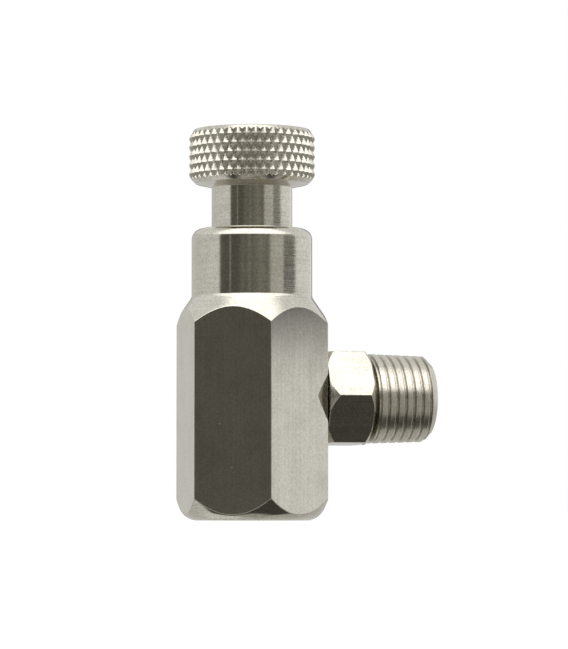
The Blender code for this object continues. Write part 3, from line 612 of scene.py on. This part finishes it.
def body_rows():
    """The rows of the body's skin, and which of them are the hexagon's flats."""
    angles, radii = hexagon_section(BODY_APOTHEM, BODY_CORNER_ROUNDING)
    lean = math.atan(CONE_SLOPE)
    base_lean = math.atan(BASE_SLOPE)
    cone_foot = (BODY_APOTHEM, SHOULDER_HEIGHT - (BODY_APOTHEM - COLLAR_RADIUS) / CONE_SLOPE)
    collar = outline(
        (COLLAR_RADIUS, BODY_TOP, COLLAR_EDGE),
        (COLLAR_RADIUS, SHOULDER_HEIGHT, SHOULDER_FILLET),
        cone_foot,
        (0.0, BODY_TOP),
        pieces=COLLAR_PIECES,
    )[:-2]
    rows = [circle(angles, r, z) for r, z in collar]
    upper = SHOULDER_HEIGHT - (radii - COLLAR_RADIUS) / CONE_SLOPE
    rows += worn_edge(angles, radii, upper, (-math.sin(lean), math.cos(lean)), (0.0, -1.0))
    flat_row = len(rows) - 1
    base_radius = BODY_CORNER - BASE_SLOPE * BASE_CHAMFER_HEIGHT
    base = outline(
        (BODY_CORNER, BASE_CHAMFER_HEIGHT),
        (base_radius, 0.0, BASE_EDGE),
        (0.0, 0.0),
        pieces=BASE_PIECES,
    )[-2::-1]
    profile = np.array([(point[0], point[1]) for point in base]).T
    lower = np.interp(radii, *profile)
    off = (-math.sin(base_lean), -math.cos(base_lean))
    rows += worn_edge(angles, radii, lower, (0.0, 1.0), off)
    start = radii + EDGE_WEAR * off[0]
    for share in np.linspace(0, 1, BASE_ROWS + 1)[1:]:
        radius = start + (profile[0][0] - start) * share
        rows.append(circle(angles, radius, np.interp(radius, *profile)))
    rows += [circle(angles, radius, height) for radius, height in bore_outline()]
    return rows, {flat_row}


def make_body():
    rows, flats = body_rows()
    mesh = grid_mesh("body_shell", rows, True, flats)
    body = place("body_shell", mesh, AXIS, (PLATE_TURNED, PLATE_FLAT))
    inlet = thread_rod("inlet_thread", INLET_THREAD, -OVERRUN, INLET_THREAD_TOP, AXIS, BORE_STEPS)
    limit = plain_length(INLET_THREAD[2] + CREST_TRIM, -OVERRUN, INLET_THREAD_TOP)
    combine(inlet, lathe("inlet_limit", limit, AXIS, BORE_STEPS), "INTERSECT")
    combine(body, inlet, "DIFFERENCE")
    combine(body, lathe("port_bore", port_outline(), PORT, BORE_STEPS), "DIFFERENCE")
    finish(body, "valve_body", "valve")


# Outlet nipple


def nipple_hexagon():
    angles, radii = hexagon_section(NIPPLE_APOTHEM, NIPPLE_CORNER_ROUNDING, NIPPLE_ROLL, 16, 4)
    inner = NIPPLE_FACE - NIPPLE_FACE_EDGE
    lean, end_lean = (math.atan(slope) for slope in NIPPLE_SLOPES)
    rows = [
        circle(angles, inner, NIPPLE_HEX_END),
        circle(angles, NIPPLE_FACE, NIPPLE_HEX_END - NIPPLE_FACE_EDGE),
    ]
    heights = NIPPLE_HEX_END - (radii - NIPPLE_FACE) / NIPPLE_SLOPES[1]
    heights = np.minimum(heights, NIPPLE_HEX_END - 2 * NIPPLE_FACE_EDGE)
    far_edge = (-math.sin(end_lean), math.cos(end_lean))
    rows += worn_edge(angles, radii, heights, far_edge, (0.0, -1.0))
    flat_row = len(rows) - 1
    heights = NIPPLE_HEX_START + (radii - NIPPLE_FACE) / NIPPLE_SLOPES[0]
    heights = np.maximum(heights, NIPPLE_HEX_START + 2 * NIPPLE_FACE_EDGE)
    near_edge = (-math.sin(lean), -math.cos(lean))
    rows += worn_edge(angles, radii, heights, (0.0, 1.0), near_edge)
    rows += [
        circle(angles, NIPPLE_FACE, NIPPLE_HEX_START + NIPPLE_FACE_EDGE),
        circle(angles, inner, NIPPLE_HEX_START),
    ]
    mesh = grid_mesh("nipple", rows, False, {flat_row})
    return place("nipple", mesh, PORT, (PLATE_PORT, PLATE_PORT_FLAT))


def make_nipple():
    nipple = nipple_hexagon()
    limit = outline(
        (0, OUTLET_REACH),
        (OUTLET_TIP, OUTLET_REACH, OUTLET_TIP_EDGE),
        (OUTLET_LIMIT, OUTLET_REACH - (OUTLET_LIMIT - OUTLET_TIP)),
        (OUTLET_LIMIT, OUTLET_START + OVERRUN),
        (OUTLET_START_RADIUS, OUTLET_START),
        (0, OUTLET_START),
    )
    reach = (OUTLET_START, OUTLET_REACH)
    outlet = thread_rod("outlet_thread", OUTLET_THREAD, *reach, PORT, OUTLET_STEPS, OUTLET_TAPER)
    combine(outlet, lathe("outlet_limit", limit, PORT, OUTLET_STEPS), "INTERSECT")
    neck_outline = plain_length(OUTLET_NECK, NIPPLE_HEX_END - OVERLAP, OUTLET_START + OVERLAP)
    spigot_outline = outline(
        (0, NIPPLE_HEX_START + OVERLAP),
        (SPIGOT_NECK, NIPPLE_HEX_START + OVERLAP),
        (SPIGOT_NECK, SPIGOT_END),
        (SPIGOT_RADIUS, SPIGOT_END - SPIGOT_BEVEL),
        (SPIGOT_RADIUS, SPIGOT_START + SPIGOT_BEVEL),
        (SPIGOT_RADIUS - SPIGOT_BEVEL, SPIGOT_START),
        (0, SPIGOT_START),
    )
    neck = lathe("neck", neck_outline, PORT, NIPPLE_STEPS)
    spigot = lathe("spigot", spigot_outline, PORT, NIPPLE_STEPS)
    for piece in (neck, outlet, spigot):
        combine(nipple, piece, "UNION")
    bore = outline(
        (0, OUTLET_REACH + OVERLAP),
        (NIPPLE_BORE + OVERLAP + NIPPLE_FLARE, OUTLET_REACH + OVERLAP),
        (NIPPLE_BORE, OUTLET_REACH - NIPPLE_FLARE),
        (NIPPLE_BORE, SPIGOT_START - OVERLAP),
        (0, SPIGOT_START - OVERLAP),
    )
    combine(nipple, lathe("nipple_bore", bore, PORT, NIPPLE_STEPS), "DIFFERENCE")
    finish(nipple, "outlet_nipple", "valve")


# Knob


# The turned faces take the first and the knurl the second.
KNOB_MATERIALS = (PLATE_TURNED, PLATE_KNURL)


def knurl_rise(across, up):
    """Height of the knurl from 0 in a groove to 1 on a tip, rounded at both.

    Two sets of crossing grooves cut it, and across and up count half diamonds.
    """
    one = np.abs((across + up + 1) % 2 - 1)
    other = np.abs((across - up + 1) % 2 - 1)
    rise = 1 - np.maximum(one, other)
    return rise - KNURL_SOFTNESS * np.sin(2 * math.pi * rise) / (2 * math.pi)


def knurl_block():
    """A block past the head's top, knurled down to the head's plain lower rim."""
    across = np.arange(2 * KNURL_COUNT * KNURL_FINE) / KNURL_FINE
    angles = KNURL_TURN + across * math.pi / KNURL_COUNT
    step = KNURL_ROW / KNURL_FINE
    last = math.ceil((KNOB_TOP + OVERRUN - KNURL_FIRST_TIPS) / step)
    first = math.ceil((KNURL_LOW - KNURL_FIRST_TIPS) / step)
    rows = []
    for index in range(last, first - 1, -1):
        rise = knurl_rise(across, index / KNURL_FINE)
        radius = KNOB_RADIUS - KNURL_DEPTH * (1 - rise)
        rows.append(circle(angles, radius, KNURL_FIRST_TIPS + index * step))
    outside = KNOB_RADIUS + OVERRUN
    rows.append(circle(angles, outside, KNURL_FIRST_TIPS + first * step))
    rows.append(circle(angles, outside, HUB_BOTTOM - OVERRUN))
    mesh = grid_mesh("knurl", rows, False, range(len(rows)))
    return place("knurl", mesh, AXIS, KNOB_MATERIALS)


def make_knob():
    solid = outline(
        (0, KNOB_TOP),
        (KNOB_TOP_RADIUS, KNOB_TOP, KNOB_TOP_EDGE),
        (KNOB_RADIUS, KNOB_BAND[1], KNOB_BAND_EDGE),
        (KNOB_RADIUS, KNOB_BAND[0]),
        (*KNOB_RIM, KNOB_RIM_EDGE),
        (HUB_RADIUS, KNOB_UNDERSIDE, KNOB_UNDERSIDE_EDGE),
        (HUB_RADIUS, HUB_GROOVE[2]),
        (HUB_GROOVE[0], HUB_GROOVE[2]),
        (HUB_GROOVE[0], HUB_GROOVE[1]),
        (HUB_LAND, HUB_GROOVE[1]),
        (HUB_LAND, HUB_BOTTOM + HUB_CHAMFER),
        (HUB_LAND - HUB_CHAMFER, HUB_BOTTOM),
        (HUB_RECESS[0], HUB_BOTTOM),
        HUB_RECESS,
        (KNOB_BORE[0], HUB_RECESS[1]),
        KNOB_BORE,
        (0, KNOB_BORE[1]),
    )
    knob = lathe("knurled_knob", solid, AXIS, 2 * KNURL_COUNT * KNURL_FINE, KNOB_MATERIALS)
    combine(knob, knurl_block(), "INTERSECT")
    hole = lathe("grub_hole", plain_length(*GRUB_HOLE), GRUB, GRUB_STEPS)
    combine(knob, hole, "DIFFERENCE")
    finish(knob, "knob", "spindle_and_knob")


# Stage, light and camera

# Dark cards are warmer than pale ones: their green and their blue as shares of their red
# at the darkest, and the brightness from which a card has no cast.
WARM_GREEN = 0.96
WARM_BLUE = 0.8
PALE_FROM = 0.8

# Each card as (degrees from the camera, brightness), where the degrees count up towards the
# right of the picture. The collar and the flats' tops reflect the cards just above eye
# level, and the neck and head those above them.
LEFT_CARDS = ((-180, 0.36), (-168, 0.36), (-162, 0.66), (-110, 0.76), (-66, 0.78))
DARK_CARDS = (
    (-61, 0.13),
    (-43, 0.11),
    (-42, 0.32),
    (-40.5, 0.32),
    (-39.5, 0.11),
    (-26, 0.115),
    (-18, 0.18),
    (-9, 0.15),
    (-5, 0.23),
    (1, 0.16),
    (17, 0.24),
    (33, 0.18),
    (38, 0.52),
)
RIGHT_CARDS = ((110, 0.9), (156, 0.92), (164, 0.36), (180, 0.36))
HORIZON = (*LEFT_CARDS, *DARK_CARDS, (62, 0.58), (72, 0.80), *RIGHT_CARDS)
BESIDE_COLLAR = (
    *LEFT_CARDS,
    *DARK_CARDS,
    (61, 0.56),
    (65, 0.015),
    (89, 0.03),
    (96, 0.88),
    *RIGHT_CARDS,
)
BESIDE_NECK = (
    *LEFT_CARDS,
    *DARK_CARDS,
    (63, 0.58),
    (68, 0.38),
    (84, 0.42),
    (92, 0.85),
    *RIGHT_CARDS,
)
ABOVE = ((-180, 0.8), (-90, 0.95), (-60, 1.95), (60, 1.95), (90, 0.95), (180, 0.8))
SIDE_BELOW = ((-180, 0.65), (-104, 0.65), (-70, 0.4), (70, 0.4), (104, 0.55), (180, 0.65))
BELOW = (
    (-180, 0.6),
    (-150, 0.85),
    (-104, 0.75),
    (-95, 0.07),
    (95, 0.07),
    (104, 0.5),
    (150, 0.55),
    (180, 0.6),
)
UNDER = ((-180, 0.45), (180, 0.45))

# Where one set of cards passes into the next, as the upward part of a direction.
UNDER_EDGE = (-0.985, -0.95)
BELOW_EDGE = (-0.75, -0.6)
SIDE_BELOW_EDGE = (-0.12, 0.0)
BESIDE_COLLAR_EDGE = (0.040, 0.062)
BESIDE_NECK_EDGE = (0.078, 0.084)
ABOVE_EDGE = (0.30, 0.42)

FLOOR_RADIUS = 3.0
FLOOR_DROP = 0.02
FLOOR_COLOUR = (0.86, 0.86, 0.85)
FLOOR_GLOW = 0.2
LAMP_SIZE = 0.9
LAMP_POWER = 9.0
LAMP_PLACE = (-0.15, -0.35, 0.9)
WHITE = (1.0, 1.0, 1.0, 1.0)


def light_floor():
    """A plain floor that glows a little, so that its far edge doesn't show."""
    mesh = bpy.data.meshes.new("floor")
    shape = bmesh.new()
    bmesh.ops.create_circle(shape, cap_ends=True, segments=64, radius=FLOOR_RADIUS)
    shape.to_mesh(mesh)
    shape.free()
    floor = place("floor", mesh, Matrix.Translation((0, 0, -FLOOR_DROP * MM)))
    material, shader = new_material("pale_floor", FLOOR_COLOUR, 0.0, 0.9)
    shader.inputs["Emission Color"].default_value = WHITE
    shader.inputs["Emission Strength"].default_value = FLOOR_GLOW
    mesh.materials.append(material)
    floor.visible_glossy = False


def brightness_ramp(tree, position, stops):
    """Brightness by position, where each stop is (degrees from the camera, brightness)."""
    ramp = tree.nodes.new("ShaderNodeValToRGB")
    tree.links.new(position, ramp.inputs[0])
    elements = ramp.color_ramp.elements
    while len(elements) > 1:
        elements.remove(elements[-1])
    for index, (angle, brightness) in enumerate(stops):
        place_share = (angle + 180) / 360
        element = elements[0] if index == 0 else elements.new(place_share)
        element.position = place_share
        pale = min(1.0, brightness / PALE_FROM)
        element.color = (
            brightness,
            brightness * (WARM_GREEN + (1 - WARM_GREEN) * pale),
            brightness * (WARM_BLUE + (1 - WARM_BLUE) * pale),
            1.0,
        )
    return ramp.outputs[0]


def blend_by_height(tree, lift, lower, upper, edge):
    """Passes from one colour to another as a direction's upward part crosses the edge."""
    mix = add_node(tree, "ShaderNodeMix")
    mix.data_type = "RGBA"
    tree.links.new(spread(tree, lift, *edge, 0.0, 1.0), mix.inputs["Factor"])
    tree.links.new(lower, mix.inputs["A"])
    tree.links.new(upper, mix.inputs["B"])
    return mix.outputs["Result"]


def studio_world():
    """Pale cards all round and dark ones near the camera, which only reflections show."""
    world = bpy.data.worlds.new("studio")
    world.use_nodes = True
    bpy.context.scene.world = world
    tree = world.node_tree
    tree.nodes.clear()
    spot = add_node(tree, "ShaderNodeTexCoord")
    turn = add_node(tree, "ShaderNodeMapping", Vector=spot.outputs["Generated"])
    turn.inputs["Rotation"].default_value = (0, 0, math.radians(90 - CAMERA_AZIMUTH))
    parts = add_node(tree, "ShaderNodeSeparateXYZ", Vector=turn.outputs[0])
    angle = maths(tree, "ARCTAN2", parts.outputs[1], parts.outputs[0])
    position = maths(tree, "ADD", maths(tree, "DIVIDE", angle, 2 * math.pi), 0.5)
    lift = parts.outputs[2]
    horizon = brightness_ramp(tree, position, HORIZON)
    beside_collar = brightness_ramp(tree, position, BESIDE_COLLAR)
    beside_neck = brightness_ramp(tree, position, BESIDE_NECK)
    above = brightness_ramp(tree, position, ABOVE)
    side_below = brightness_ramp(tree, position, SIDE_BELOW)
    below = brightness_ramp(tree, position, BELOW)
    under = brightness_ramp(tree, position, UNDER)
    level = blend_by_height(tree, lift, horizon, beside_collar, BESIDE_COLLAR_EDGE)
    level = blend_by_height(tree, lift, level, beside_neck, BESIDE_NECK_EDGE)
    level = blend_by_height(tree, lift, level, above, ABOVE_EDGE)
    level = blend_by_height(tree, lift, side_below, level, SIDE_BELOW_EDGE)
    level = blend_by_height(tree, lift, below, level, BELOW_EDGE)
    level = blend_by_height(tree, lift, under, level, UNDER_EDGE)
    light = add_node(tree, "ShaderNodeBackground", Color=level, Strength=1.0)
    plain = add_node(tree, "ShaderNodeBackground", Color=WHITE, Strength=1.0)
    seen = add_node(tree, "ShaderNodeLightPath")
    choose = add_node(tree, "ShaderNodeMixShader", i0=seen.outputs["Is Camera Ray"])
    tree.links.new(light.outputs[0], choose.inputs[1])
    tree.links.new(plain.outputs[0], choose.inputs[2])
    output = add_node(tree, "ShaderNodeOutputWorld", Surface=choose.outputs[0])
    output.is_active_output = True


def key_light():
    """A soft overhead light for the floor and the shadow, kept out of the reflections."""
    lamp = bpy.data.lights.new("overhead", "AREA")
    lamp.shape = "DISK"
    lamp.size = LAMP_SIZE
    lamp.energy = LAMP_POWER
    obj = bpy.data.objects.new("overhead", lamp)
    obj.location = LAMP_PLACE
    obj.rotation_euler = (Vector((0, 0, 0)) - obj.location).to_track_quat("-Z", "Y").to_euler()
    obj.visible_glossy = False
    bpy.context.scene.collection.objects.link(obj)


def camera():
    azimuth = math.radians(CAMERA_AZIMUTH)
    back = Vector((math.sin(azimuth), -math.cos(azimuth), 0.0))
    right = Vector((math.cos(azimuth), math.sin(azimuth), 0.0))
    target = Vector((AXIS_X, 0, LOOK_HEIGHT * MM)) + right * LOOK_ACROSS * MM
    place_of_camera = target + back * CAMERA_DISTANCE * MM
    place_of_camera.z = CAMERA_HEIGHT * MM
    data = bpy.data.cameras.new("camera")
    data.sensor_width = 36.0
    data.lens = data.sensor_width * CAMERA_DISTANCE / PICTURE_HEIGHT
    data.clip_start = 0.01
    data.clip_end = 20.0
    obj = bpy.data.objects.new("camera", data)
    obj.location = place_of_camera
    obj.rotation_euler = (target - place_of_camera).to_track_quat("-Z", "Y").to_euler()
    bpy.context.scene.collection.objects.link(obj)
    bpy.context.scene.camera = obj


make_body()
make_nipple()
make_knob()
dress_inner_pieces()
light_floor()
studio_world()
key_light()
camera()
bpy.context.scene.view_settings.view_transform = "Standard"
